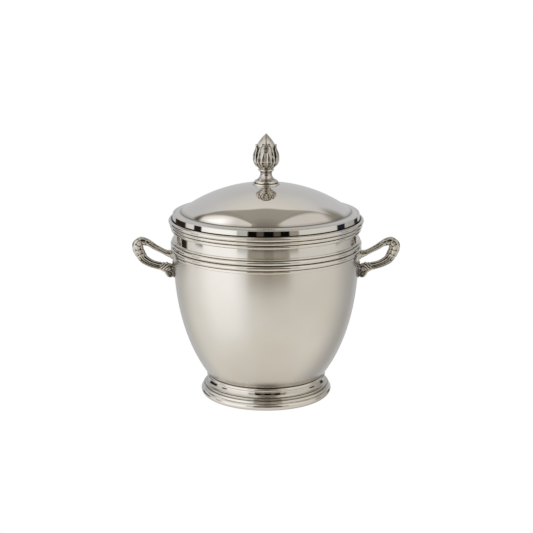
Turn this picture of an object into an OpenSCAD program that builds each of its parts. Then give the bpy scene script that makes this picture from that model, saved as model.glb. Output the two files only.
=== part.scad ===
// Covered sugar bowl in silver: spun bowl on a round foot, two cast loop handles
// and a domed lid with a bud finial. Millimetres, +Z up, handles along X.
// The origin is the centre of the face that the bowl stands on.

/* [Bowl] */
// Height of the rim's top above the table
bowl_h = 92; // [80:0.5:115]
// Outside diameter of the plain neck
neck_d = 93.2; // [76:0.2:114]
// How far the belly stands out beyond the neck, on the radius
belly_swell = 0.4; // [0:0.1:1]
// Outside diameter where the belly meets the foot
waist_d = 60; // [48:0.5:72]
// Thickness of the spun sheet of bowl and foot
wall = 1.2; // [0.8:0.1:1.6]
// Squareness of the belly's curve: 2 is a true ellipse
belly_power = 2.12; // [1.9:0.01:2.4]
// How much further down the belly's curve would close than it is cut
belly_reach = 1.27; // [1.2:0.01:1.5]

/* [Rim and girdle mouldings] */
// Height of the rounded lip
lip_h = 2.3; // [1.8:0.1:2.8]
// How far the lip stands out from the neck
lip_out = 2.7; // [2.5:0.1:3.3]
// Height of the middle reed under the lip
rim_reed_h = 1.8; // [1.4:0.1:2.2]
// Height of the lowest reed of the rim
rim_foot_h = 2.1; // [1.7:0.1:2.5]
// Depth of the ledge that the lid sits on, below the lip's top
ledge_depth = 0.5; // [0.3:0.1:0.8]
// Height of the plain neck between rim and girdle
neck_h = 4.4; // [3:0.1:7]
// Height of each of the two broad reeds of the girdle
girdle_reed_h = 2.5; // [2:0.1:3]
// Height of the thin fillet above the broad reeds
girdle_top_h = 1.0; // [0.8:0.1:1.4]
// Height of the thin fillet below the broad reeds
girdle_low_h = 1.5; // [1:0.1:2]
// How far the broad reeds stand out from the neck
girdle_out = 1.8; // [1.5:0.1:2.2]

/* [Foot] */
// How far the base wire stands out beyond the waist, on the radius
foot_spread = 3.6; // [2.5:0.1:6]
// Height of the base wire
base_wire_h = 3.8; // [3:0.1:4.6]
// Height of the whole foot, up to the belly
foot_h = 11; // [10:0.1:14]
// Height of the bead between foot and belly
bead_h = 2; // [1.6:0.1:2.4]
// Height of each of the two steps above the base wire
step_h = 1.1; // [0.9:0.1:1.3]

/* [Handles] */
// How far the handles stand out from the belly
handle_out = 21.3; // [18:0.1:30]
// Thickness of the handle at its outer end, front to back
handle_end_t = 5.6; // [4:0.1:7]
// Thickness of the handle's arms, front to back
handle_arm_t = 3.4; // [2.6:0.1:4.4]
// Width of the leaf-shaped plate behind the lower end
plate_w = 7.6; // [5:0.2:12]
// Thickness of the leaf-shaped plate
plate_t = 0.8; // [0.5:0.1:1.2]
// Thickness of the pad behind the upper root, over the girdle
pad_t = 0.8; // [0.5:0.1:1.2]

/* [Lid] */
// Height of the dome's top above the lid's crease
dome_h = 13.95; // [10:0.05:18]
// Width of the sloping flange round the dome, on the radius
flange_w = 3; // [2.5:0.1:6]
// Fall of the flange from crease to edge
flange_fall = 0.7; // [0.5:0.1:1.4]
// Thickness of the lid's sheet
lid_wall = 1.0; // [0.8:0.1:1.4]
// Height of the upright band round the lid
lid_band_h = 3.2; // [2.8:0.1:4.5]
// Width of the upright band, on the radius
lid_band_w = 1.3; // [1:0.1:1.6]
// Depth of the locating ring inside the mouth
bezel_depth = 4; // [3:0.5:8]
// Gap all round between the lid's band and the lip
lid_gap = 0.6; // [0.2:0.05:0.9]
// Gap all round between the locating ring and the mouth
bezel_gap = 0.35; // [0.2:0.05:0.6]

/* [Finial] */
// Height of the finial above the dome's top
finial_h = 25.2; // [22:0.1:30]
// Diameter of the spreading disc at the foot of the finial
disc_d = 13.9; // [12:0.1:16]
// Diameter of the rounded ring above the disc
ring_d = 12; // [10:0.1:14]
// Diameter of the narrow neck
stem_d = 5.7; // [5:0.1:7]
// Greatest diameter over the leaves
calyx_d = 14; // [12:0.1:16]
// Diameter of the threaded stud
stud_d = 3; // [2.5:0.1:3.5]

/* [Hidden] */
silver = [0.80, 0.78, 0.74];
dark_silver = [0.62, 0.60, 0.56];
$fn = 96;

fit = 0.05;          // clearance between pieces that slide or turn on each other
joint_gap = 0.01;    // hairline between soldered or clamped pieces
neck_r = neck_d / 2;
waist_r = waist_d / 2;
belly_r_max = neck_r + belly_swell;
mouth_r = neck_r - wall;

// heights of the bowl's mouldings, from the top down
rim_z = bowl_h - lip_h - rim_reed_h - rim_foot_h;
ledge_z = bowl_h - ledge_depth;
girdle_top_z = rim_z - neck_h;
girdle_reed_z = girdle_top_z - girdle_top_h - 2 * girdle_reed_h;
girdle_z = girdle_reed_z - girdle_low_h;
fillet_out = girdle_out - 0.7;
lip_r = lip_h / 2;

// the belly is one quarter of a rounded ellipse, cut off at the foot
belly_h = girdle_z - foot_h;
belly_end = pow(1 - pow(1 / belly_reach, belly_power), 1 / belly_power);
function belly_fall(t) = pow(1 - pow(t / belly_reach, belly_power), 1 / belly_power);
// t runs from 0 under the girdle to 1 at the foot
function belly_r(t) = waist_r
    + (belly_r_max - waist_r) * (belly_fall(t) - belly_end) / (1 - belly_end);
function belly_z(t) = girdle_z - t * belly_h;
function belly_slope(t) = (belly_r(t - 0.01) - belly_r(t + 0.01)) / (0.02 * belly_h);
function belly_inner_r(t) = belly_r(t) - wall * sqrt(1 + pow(belly_slope(t), 2));
belly_steps = 28;
inner_end = 1 - wall / belly_h;    // the inside curve stops at the floor

// points along a circle's arc, from one angle to another
function arc(c, r, from, to, n = 8) =
    [for (i = [0:n]) let (a = from + (to - from) * i / n) c + r * [cos(a), sin(a)]];

// foot
foot_r = waist_r + foot_spread;
foot_steps_z = base_wire_h + 2 * step_h;
cove_top_z = foot_h - bead_h;
step_low_r = foot_r - 1.1;
step_top_r = foot_r - 2;
cove_top_r = waist_r - 0.6;
base_inner_r = foot_r - 3.2;
base_low_r = 2.2;                  // roundness of the base wire, below
base_top_r = base_wire_h - base_low_r;
collar_inner_r = waist_r - 2.4;
bead_r = bead_h / 2;
bead_x = waist_r - 0.4;

// lid
lid_z = ledge_z + fit;
band_r = neck_r + lip_out - lip_r - lid_gap - 0.2;
flange_r = band_r - lid_band_w;
crease_r = flange_r - flange_w;
flange_z = lid_z + lid_band_h;
crease_z = flange_z + flange_fall;
dome_z = crease_z + dome_h;
dome_r = (pow(crease_r, 2) + pow(dome_h, 2)) / (2 * dome_h);
dome_centre = dome_z - dome_r;
under_flange_z = flange_z - lid_wall;
bezel_r = mouth_r - bezel_gap;
bezel_t = 0.9;
bezel_low_z = ledge_z - bezel_depth;

// finial, heights measured from the dome's top
stud_r = stud_d / 2;
disc_r = disc_d / 2;
ring_r = ring_d / 2;
stem_r = stem_d / 2;
calyx_r = calyx_d / 2;
tip_z = dome_z + finial_h;
disc_edge = 0.7;
ring_edge = 0.85;
disc_seat = dome_r - sqrt(pow(dome_r, 2) - pow(disc_r, 2));
disc_z = dome_z - disc_seat;
ring_z = disc_z + disc_edge + ring_edge - 0.35;
stem_z = dome_z + 5;             // narrowest height
cup_z = dome_z + 7.5;                // top of the cup that holds the leaves
cup_r = 4;
calyx_top_z = dome_z + 19.5;
calyx_h = calyx_top_z - cup_z;
leaf_t = 0.6;
core_top_z = cup_z + 0.54 * calyx_h;
notch_z = core_top_z + 0.3;        // where the leaves part
spire_z = calyx_top_z - 1;         // where the bud starts to taper
spire_r = 4.9;                     // half diagonal of the four-sided bud
stud_top_z = cup_z + 5;
stud_drop = 4.6;                   // length of stud below the dome's sheet
washer_r = 4;
washer_t = 0.6;
dome_inner_r = dome_r - lid_wall;
washer_seat = dome_inner_r - sqrt(pow(dome_inner_r, 2) - pow(washer_r, 2));
washer_z = dome_z - lid_wall - washer_seat - washer_t - joint_gap;
nut_h = 2.4;
nut_across = 5.5;

// handle, in the upright plane through both handles
root_x = belly_r_max + 1.4;
root_z = girdle_z - 1;             // middle of the upper root
end_x = belly_r_max + handle_out - 4.1;
end_z = root_z + 4;
pad_h = 4.8;                       // pad behind the upper root
pad_w = 4.6;

module solid_of_turn(points) { rotate_extrude() polygon(points); }

// everything that a soldered piece must stay outside of
module body_envelope(grow = joint_gap) {
    solid_of_turn(concat(
        [[0, foot_h]],
        [for (i = [belly_steps:-1:0]) let (t = i / belly_steps)
            [belly_r(t) + grow, belly_z(t) - grow]],
        [[neck_r + fillet_out + grow, girdle_z - grow],
         [neck_r + fillet_out + grow, girdle_reed_z],
         [neck_r + girdle_out + grow, girdle_reed_z],
         [neck_r + girdle_out + grow, bowl_h],
         [0, bowl_h]]));
}

module bowl_shell() {
    color(silver) solid_of_turn(concat(
        [[0, foot_h]],
        [for (i = [belly_steps:-1:0]) let (t = i / belly_steps) [belly_r(t), belly_z(t)]],
        [[neck_r, girdle_z + 0.6], [neck_r, ledge_z - wall],
         [mouth_r, ledge_z - wall], [mouth_r, girdle_z]],
        [for (i = [1:belly_steps]) let (t = inner_end * i / belly_steps)
            [belly_inner_r(t), belly_z(t)]],
        [[0, foot_h + wall]]));
}

module rim_mount() {
    inner = neck_r + joint_gap;
    lip_x = neck_r + lip_out - lip_r;
    mid_r = rim_reed_h / 2;
    low_r = rim_foot_h / 2;
    color(silver) rotate_extrude() {
        // ring that wraps the neck and turns in over its edge as the lid's ledge
        polygon([[inner, rim_z], [inner + 0.4, rim_z],
                 [lip_x, bowl_h - lip_h], [lip_x, bowl_h],
                 [band_r + lid_gap, bowl_h], [band_r + lid_gap, ledge_z],
                 [mouth_r, ledge_z], [mouth_r, ledge_z - wall + joint_gap],
                 [inner, ledge_z - wall + joint_gap]]);
        // lip and reeds, kept outside the neck and clear of the lid's band
        difference() {
            union() {
                translate([lip_x, bowl_h - lip_r]) circle(r = lip_r);
                translate([lip_x - 0.35, bowl_h - lip_h - mid_r]) circle(r = mid_r);
                translate([lip_x - 1.15, rim_z + low_r]) circle(r = low_r);
            }
            square([inner, bowl_h]);
            translate([0, ledge_z]) square([band_r + lid_gap, lip_h]);
        }
    }
}

module girdle_band() {
    inner = belly_r_max + joint_gap;
    half = girdle_reed_h / 2;
    edge = neck_r + girdle_out;
    fillet_r = neck_r + fillet_out;
    color(silver) rotate_extrude() {
        polygon([[inner, girdle_z], [fillet_r, girdle_z], [fillet_r, girdle_top_z],
                 [inner, girdle_top_z]]);
        for (k = [0, 1])
            translate([edge - half, girdle_reed_z + (2 * k + 1) * half]) intersection() {
                circle(r = half);
                translate([inner - edge + half, -half]) square([2 * half, 2 * half]);
            }
    }
}

module foot_collar() {
    color(silver) rotate_extrude() {
        translate([collar_inner_r, cove_top_z]) square([bead_x - collar_inner_r, bead_h]);
        translate([bead_x, foot_h - bead_r]) circle(r = bead_r);
    }
}

module foot_ring() {
    cove_h = cove_top_z - foot_steps_z;
    color(silver) solid_of_turn(concat(
        [[cove_top_r - wall, cove_top_z - joint_gap], [cove_top_r, cove_top_z - joint_gap]],
        [for (i = [1:8]) let (a = 90 * i / 8)
            [cove_top_r + (step_top_r - 0.5 - cove_top_r) * (1 - cos(a)),
             cove_top_z - cove_h * sin(a)]],
        [[step_top_r, foot_steps_z], [step_top_r, foot_steps_z - step_h],
         [step_low_r, foot_steps_z - step_h], [step_low_r, base_wire_h + joint_gap],
         [base_inner_r, base_wire_h + joint_gap],
         [base_inner_r, foot_steps_z - wall],
         [cove_top_r - wall, cove_top_z - wall]]));
}

module foot_base_wire() {
    color(silver) solid_of_turn(concat(
        [[base_inner_r, 0]],
        arc([foot_r - base_low_r, base_low_r], base_low_r, -90, 0),
        arc([foot_r - base_top_r, base_low_r], base_top_r, 0, 90),
        [[base_inner_r, base_wire_h]]));
}

// one stretch of the handle between two discs [x, z, radius]
module stretch(a, b) {
    hull() {
        translate([a[0], a[1]]) circle(r = a[2], $fn = 32);
        translate([b[0], b[1]]) circle(r = b[2], $fn = 32);
    }
}

module chain(discs) {
    for (i = [0:len(discs) - 2]) stretch(discs[i], discs[i + 1]);
}

// side outline of the handle: x out from the axis, y is height
module handle_outline() {
    span = end_x - root_x;
    top = [end_x - 0.5, end_z + 2.5, 2.2];
    bend = [end_x - 1.7, end_z - 6.5, 2.2];
    scroll = [root_x + 2.2, root_z - 6.5, 2.5];
    // upper arm: sags from the root, then rises to the outer end
    chain([[root_x - 2, root_z, 2.1],
           [root_x + 0.13 * span, root_z + 0.6, 1.5],
           [root_x + 0.25 * span, root_z + 1.5, 1.2],
           [root_x + 0.5 * span, root_z + 3.6, 1.35],
           [root_x + 0.65 * span, root_z + 5.2, 1.45],
           [root_x + 0.8 * span, root_z + 6.25, 1.7],
           top]);
    // outer end
    chain([top, [end_x + 1.4, end_z + 0.7, 2.7], [end_x + 1.2, end_z - 1.7, 2.7],
           [end_x, end_z - 4, 2.5], bend]);
    // lower arm: sweeps back towards the bowl
    chain([bend,
           [root_x + 0.77 * span, root_z - 3.8, 1.95],
           [root_x + 0.63 * span, root_z - 5, 1.8],
           [root_x + 0.45 * span, root_z - 5.9, 1.75],
           [root_x + 0.28 * span, root_z - 6.4, 2],
           scroll]);
    // stub that meets the leaf plate, and the small scroll under it
    chain([scroll, [root_x - 3, root_z - 7.6, 1.9]]);
    chain([scroll, [root_x + 0.8, root_z - 8.8, 1.8], [root_x + 0.5, root_z - 10.8, 1.45]]);
}

// plan outline: slim arms that widen to the outer end
module handle_plan() {
    chain([[root_x - 4, 0, handle_arm_t / 2],
           [end_x - 8, 0, handle_arm_t / 2],
           [end_x, 0, handle_end_t / 2],
           [end_x + 5, 0, handle_end_t / 2]]);
}

// pad between the girdle and the handle's upper root
module pad_block(grow = 0) {
    out_r = neck_r + fillet_out + pad_t + grow;
    translate([belly_r_max - 2, -pad_w / 2 - grow, root_z - pad_h / 2 - grow])
        cube([out_r - belly_r_max + 2, pad_w + 2 * grow, pad_h + 2 * grow]);
}

module handle() {
    color(dark_silver) difference() {
        intersection() {
            rotate([90, 0, 0]) linear_extrude(handle_end_t + 1, center = true)
                handle_outline();
            translate([0, 0, root_z - 14]) linear_extrude(28) handle_plan();
        }
        body_envelope(plate_t + 2 * joint_gap, $fn = 360);
        pad_block(joint_gap);
    }
}

module handle_collar() {
    color(dark_silver) difference() {
        pad_block();
        body_envelope($fn = 720);
    }
}

// leaf with its point down
module plate_outline() {
    top = root_z - 3.4;
    low = root_z - 12.2;
    hull() {
        translate([0, top - plate_w / 2]) circle(d = plate_w, $fn = 32);
        translate([0, low + 1]) circle(r = 1, $fn = 32);
    }
}

module handle_plate() {
    color(dark_silver) difference() {
        intersection() {
            rotate([90, 0, 90]) linear_extrude(belly_r_max + 5) plate_outline();
            body_envelope(plate_t, $fn = 360);
        }
        body_envelope($fn = 360);
    }
}

module lid_dome() {
    color(silver) difference() {
        rotate_extrude() {
            intersection() {
                difference() {
                    translate([0, dome_centre]) circle(r = dome_r, $fn = 360);
                    translate([0, dome_centre]) circle(r = dome_inner_r, $fn = 360);
                }
                translate([0, under_flange_z]) square([crease_r, dome_z]);
            }
            polygon([[crease_r - 1.2, under_flange_z], [flange_r, under_flange_z],
                     [flange_r, flange_z], [crease_r, crease_z - 0.05],
                     [crease_r - 0.6, crease_z + 0.2], [crease_r - 1.2, crease_z + 0.1]]);
        }
        cylinder(r = stud_r + fit, h = 2 * bowl_h);
    }
}

module lid_rim_band() {
    edge = 0.5;
    color(silver) solid_of_turn(concat(
        [[flange_r + joint_gap, lid_z], [band_r, lid_z]],
        arc([band_r - 0.3 - edge, flange_z - edge], edge, 0, 90, 4),
        [[flange_r + joint_gap, flange_z]]));
}

module lid_bezel() {
    color(silver) rotate_extrude()
        translate([bezel_r - bezel_t, bezel_low_z])
            square([bezel_t, under_flange_z - fit - bezel_low_z]);
}

module finial_pedestal() {
    flare_h = stem_z - ring_z - 0.6;
    color(dark_silver) difference() {
        rotate_extrude() {
            translate([0, dome_z - 2]) square([disc_r - disc_edge, disc_z + disc_edge - dome_z + 2]);
            translate([disc_r - disc_edge, disc_z]) circle(r = disc_edge);
            translate([0, ring_z - ring_edge]) square([ring_r - ring_edge, 2 * ring_edge]);
            translate([ring_r - ring_edge, ring_z]) circle(r = ring_edge);
            polygon(concat(
                [[0, ring_z + 0.6]],
                [for (i = [0:8]) let (a = 90 * i / 8)
                    [stem_r + (ring_r - ring_edge - stem_r) * (1 - sin(a)),
                     ring_z + 0.6 + flare_h * (1 - cos(a))]],
                [[stem_r, stem_z + 0.2], [cup_r - 0.2, cup_z - 0.7],
                 [cup_r, cup_z - 0.4], [cup_r, cup_z], [0, cup_z]]));
        }
        translate([0, 0, dome_centre]) sphere(r = dome_r + joint_gap, $fn = 360);
        cylinder(r = stud_r + joint_gap, h = 2 * bowl_h);
    }
}

// outer radius of the leaves at height z above the cup
function calyx_outer(z) = let (t = z / calyx_h)
    t < 0.36 ? cup_r - 0.3 + (calyx_r - cup_r + 0.3) * sin(90 * t / 0.36)
             : calyx_r - (calyx_r - 5.6) * pow((t - 0.36) / 0.64, 2);

module finial_calyx() {
    n = 14;
    hole_r = stud_r + joint_gap;
    color(dark_silver) difference() {
        solid_of_turn(concat(
            [[hole_r, cup_z + joint_gap], [calyx_outer(0), cup_z + joint_gap]],
            [for (i = [1:n]) [calyx_outer(calyx_h * i / n), cup_z + calyx_h * i / n]],
            [for (i = [n:-1:1])
                [calyx_outer(calyx_h * i / n) - leaf_t, cup_z + calyx_h * i / n]],
            [[hole_r, cup_z + leaf_t]]));
        // notches between the leaves' tips
        for (k = [0:3]) rotate([0, 0, 45 + 90 * k])
            translate([0, 0, notch_z]) rotate([90, 0, 90]) linear_extrude(calyx_d)
                polygon([[0, 0], [2.6, calyx_h], [-2.6, calyx_h]]);
    }
}

// one face-on outline of the bud's four-sided top
module spire_outline() {
    half = spire_r / sqrt(2);
    h = tip_z - spire_z;
    side = [for (i = [0:8]) let (t = i / 8) [half * (1 - pow(t, 1.5)), spire_z + h * t]];
    polygon(concat([[-half, core_top_z - 1], [half, core_top_z - 1]],
        side, [for (i = [7:-1:0]) [-side[i][0], side[i][1]]]));
}

module finial_bud() {
    n = 8;
    seat_z = cup_z + leaf_t + joint_gap;
    color(silver) difference() {
        union() {
            intersection_for (k = [0, 1]) rotate([90, 0, 45 + 90 * k])
                linear_extrude(calyx_d, center = true) spire_outline();
            solid_of_turn(concat(
                [[0, seat_z]],
                [for (i = [1:n]) let (z = leaf_t + joint_gap + (core_top_z - seat_z) * i / n)
                    [calyx_outer(z) - leaf_t - 0.1, cup_z + z]],
                [[0, core_top_z]]));
        }
        cylinder(r = stud_r + joint_gap, h = stud_top_z);
    }
}

module finial_stud() {
    low_z = dome_z - lid_wall - stud_drop;
    color(dark_silver) translate([0, 0, low_z])
        cylinder(r = stud_r, h = stud_top_z - joint_gap - low_z);
}

module finial_washer() {
    color(dark_silver) difference() {
        translate([0, 0, washer_z]) cylinder(r = washer_r, h = washer_t);
        cylinder(r = stud_r + joint_gap, h = 2 * bowl_h);
    }
}

module finial_nut() {
    color(dark_silver) difference() {
        translate([0, 0, washer_z - nut_h - joint_gap])
            cylinder(r = nut_across / sqrt(3), h = nut_h, $fn = 6);
        cylinder(r = stud_r + joint_gap, h = 2 * bowl_h);
    }
}

module at_left() { mirror([1, 0, 0]) children(); }

bowl_shell();
rim_mount();
girdle_band();
foot_collar();
foot_ring();
foot_base_wire();
at_left() handle();  // handle_left
handle();  // handle_right
at_left() handle_collar();  // handle_collar_left
handle_collar();  // handle_collar_right
at_left() handle_plate();  // handle_plate_left
handle_plate();  // handle_plate_right
lid_bezel();
lid_dome();
lid_rim_band();
finial_pedestal();
finial_calyx();
finial_bud();
finial_stud();
finial_washer();
finial_nut();
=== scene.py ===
import math

import bmesh
import bpy
from mathutils import Matrix, Vector


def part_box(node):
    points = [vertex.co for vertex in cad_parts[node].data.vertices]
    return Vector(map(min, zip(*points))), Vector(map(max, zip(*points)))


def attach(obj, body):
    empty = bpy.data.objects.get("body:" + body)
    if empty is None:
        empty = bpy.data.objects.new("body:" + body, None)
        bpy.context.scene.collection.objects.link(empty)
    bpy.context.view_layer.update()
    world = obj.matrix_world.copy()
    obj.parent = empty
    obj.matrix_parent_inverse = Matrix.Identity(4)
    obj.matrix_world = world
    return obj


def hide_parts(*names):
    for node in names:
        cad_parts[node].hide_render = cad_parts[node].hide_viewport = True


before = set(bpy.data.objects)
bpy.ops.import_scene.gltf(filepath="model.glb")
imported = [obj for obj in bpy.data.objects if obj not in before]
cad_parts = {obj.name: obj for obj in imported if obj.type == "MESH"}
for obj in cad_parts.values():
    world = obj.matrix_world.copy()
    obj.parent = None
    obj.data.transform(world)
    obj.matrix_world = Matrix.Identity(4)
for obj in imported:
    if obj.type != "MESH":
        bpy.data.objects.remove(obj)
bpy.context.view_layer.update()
mm = 0.001
jointGap = 0.01  # between soldered or screwed pieces, mm
slideGap = 0.05  # between pieces that slide or slip over each other, mm
print("frame loaded:", len(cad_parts), "nodes")


def nodeBox(node):
    # a node's corners in millimetres
    low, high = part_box(node)
    return low / mm, high / mm


def hexColour(code):
    # sRGB hex to the linear colour that shaders read
    parts = [int(code[i:i + 2], 16) / 255 for i in (1, 3, 5)]
    return tuple(c / 12.92 if c <= 0.04045 else ((c + 0.055) / 1.055) ** 2.4 for c in parts) + (1.0,)


def addNode(tree, kind, settings=None, links=None):
    # settings are a node's own properties or its sockets' values; links are sockets to read from
    node = tree.nodes.new("ShaderNode" + kind)
    for key, value in (settings or {}).items():
        if isinstance(key, str) and hasattr(node, key):
            setattr(node, key, value)
        else:
            node.inputs[key].default_value = value
    for key, source in (links or {}).items():
        tree.links.new(source, node.inputs[key])
    return node


def startPiece():
    # nothing else may stay selected, or an operator works on that too
    bpy.ops.object.select_all(action="DESELECT")


def pickPiece(piece):
    startPiece()
    bpy.context.view_layer.objects.active = piece
    piece.select_set(True)


def openMesh():
    bpy.ops.object.mode_set(mode="EDIT")


def closeMesh():
    bpy.ops.object.mode_set(mode="OBJECT")


def endPiece(piece, name, angle=35):
    # closes seams, turns faces outwards and smooths all but the real edges
    piece.name = name
    piece.data.name = name
    pickPiece(piece)
    openMesh()
    bpy.ops.mesh.select_all(action="SELECT")
    bpy.ops.mesh.remove_doubles(threshold=0.002 * mm)
    bpy.ops.mesh.dissolve_degenerate(threshold=0.001 * mm)
    bpy.ops.mesh.select_all(action="SELECT")
    bpy.ops.mesh.normals_make_consistent(inside=False)
    closeMesh()
    bpy.ops.object.transform_apply(location=True, rotation=True, scale=True)
    bpy.ops.object.shade_smooth_by_angle(angle=math.radians(angle))
    piece.select_set(False)
    return piece


def joinPieces(pieces, name, angle=35):
    startPiece()
    for piece in pieces:
        piece.select_set(True)
    bpy.context.view_layer.objects.active = pieces[0]
    bpy.ops.object.join()
    whole = bpy.context.object
    whole.name = name
    whole.data.name = name
    bpy.ops.object.shade_smooth_by_angle(angle=math.radians(angle))
    whole.select_set(False)
    return whole


def applyModifier(piece, kind, **settings):
    pickPiece(piece)
    modifier = piece.modifiers.new(kind.lower(), kind)
    for key, value in settings.items():
        setattr(modifier, key, value)
    bpy.ops.object.modifier_apply(modifier=modifier.name)
    piece.select_set(False)


def arc(x, z, radius, start, end, steps=10):
    # points along a circle's arc, angles in degrees from straight out
    points = []
    for i in range(steps + 1):
        a = math.radians(start + (end - start) * i / steps)
        points.append((x + radius * math.cos(a), z + radius * math.sin(a)))
    return points


def turnPiece(name, outline, steps=240, angle=35):
    # a lathe piece: one point is drawn out along the outline, in millimetres, and spun round Z
    startPiece()
    bpy.ops.mesh.primitive_plane_add(size=mm, location=(0, 0, 0))
    piece = bpy.context.object
    openMesh()
    bpy.ops.mesh.merge(type="CENTER")
    bpy.ops.transform.translate(value=(outline[0][0] * mm, 0, outline[0][1] * mm))
    for here, there in zip(outline, outline[1:]):
        step = ((there[0] - here[0]) * mm, 0, (there[1] - here[1]) * mm)
        bpy.ops.mesh.extrude_vertices_move(TRANSFORM_OT_translate={"value": step})
    bpy.ops.mesh.select_all(action="SELECT")
    bpy.ops.mesh.spin(steps=steps, angle=2 * math.pi, center=(0, 0, 0), axis=(0, 0, 1))
    closeMesh()
    return endPiece(piece, name, angle)


def smoothStep(low, high, value):
    # from 0 at low to 1 at high, either way round
    t = min(max((value - low) / (high - low), 0.0), 1.0)
    return t * t * (3 - 2 * t)


def hump(value, centre, width):
    # a soft ridge, 1 at its centre
    return math.exp(-((value - centre) / width) ** 2)


def blendStops(stops, t):
    # a smooth value between given stops (place, value)
    for (a, low), (b, high) in zip(stops, stops[1:]):
        if t <= b:
            return low + (high - low) * smoothStep(a, b, t)
    return stops[-1][1]


def curvePoint(points, t):
    # a point on the smooth line through points, t from 0 to 1; every column is smoothed alike
    spans = len(points) - 1
    place = min(max(t, 0.0), 1.0) * spans
    i = min(int(place), spans - 1)
    f = place - i
    p = [points[min(max(i + k, 0), spans)] for k in (-1, 0, 1, 2)]
    found = []
    for a, b, c, d in zip(*p):
        found.append(0.5 * (2 * b + (c - a) * f + (2 * a - 5 * b + 4 * c - d) * f * f
                            + (3 * b - a - 3 * c + d) * f ** 3))
    return found


def markHollows(piece, depth=0.06, sheltered=None):
    # keeps how hollow each point of the surface is, so that painted shade, and on the cast pieces tarnish as
    # well, can sit there;
    # sheltered gives how much painted shade a place (distance from the axis, height, mm) gets whatever its
    # shape
    shape = bmesh.new()
    shape.from_mesh(piece.data)
    shape.normal_update()
    hollow = []
    for vertex in shape.verts:
        total = 0.0
        for edge in vertex.link_edges:
            away = edge.other_vert(vertex).co - vertex.co
            total += away.dot(vertex.normal) / max(away.length, 1e-7)
        hollow.append(total / max(len(vertex.link_edges), 1))
    for _ in range(3):
        hollow = [(hollow[v.index] + sum(hollow[e.other_vert(v).index] for e in v.link_edges))
                  / (1 + len(v.link_edges)) for v in shape.verts]
    shape.free()
    dark = [smoothStep(-depth * 0.3, depth, h) if depth else 0.0 for h in hollow]
    if sheltered:
        for vertex in piece.data.vertices:
            place = vertex.co / mm
            dark[vertex.index] = max(dark[vertex.index], sheltered(math.hypot(place.x, place.y), place.z))
    layer = piece.data.attributes.new("hollow", "FLOAT", "POINT")
    layer.data.foreach_set("value", dark)


def roundCorner(before, corner, after, radius, steps=8):
    # points of an arc that rounds a corner of an outline
    a = Vector(before) - Vector(corner)
    b = Vector(after) - Vector(corner)
    a.normalize()
    b.normalize()
    half = a.angle(b) / 2
    reach = radius / math.tan(half)
    middle = Vector(corner) + (a + b).normalized() * (radius / math.sin(half))
    first = Vector(corner) + a * reach - middle
    last = Vector(corner) + b * reach - middle
    points = []
    for i in range(steps + 1):
        way = first.lerp(last, i / steps)
        points.append(tuple(middle + way.normalized() * radius))
    return points


# the camera looks slightly down on the bowl, from the front
viewpoint = {"target": (0.2, 0, 66.3), "distance": 673, "pitch": 13.72, "lens": 89.1, "sensor": 36}


def placeCamera():
    pitch = math.radians(viewpoint["pitch"])
    back = Vector((0, -math.cos(pitch), math.sin(pitch)))
    data = bpy.data.cameras.new("frontCamera")
    data.lens = viewpoint["lens"]
    data.sensor_width = viewpoint["sensor"]
    data.clip_start = 0.01
    data.clip_end = 50
    camera = bpy.data.objects.new("frontCamera", data)
    bpy.context.scene.collection.objects.link(camera)
    camera.location = (Vector(viewpoint["target"]) + back * viewpoint["distance"]) * mm
    camera.rotation_mode = "QUATERNION"
    camera.rotation_quaternion = (-back).to_track_quat("-Z", "Y")
    bpy.context.scene.camera = camera


placeCamera()

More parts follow.
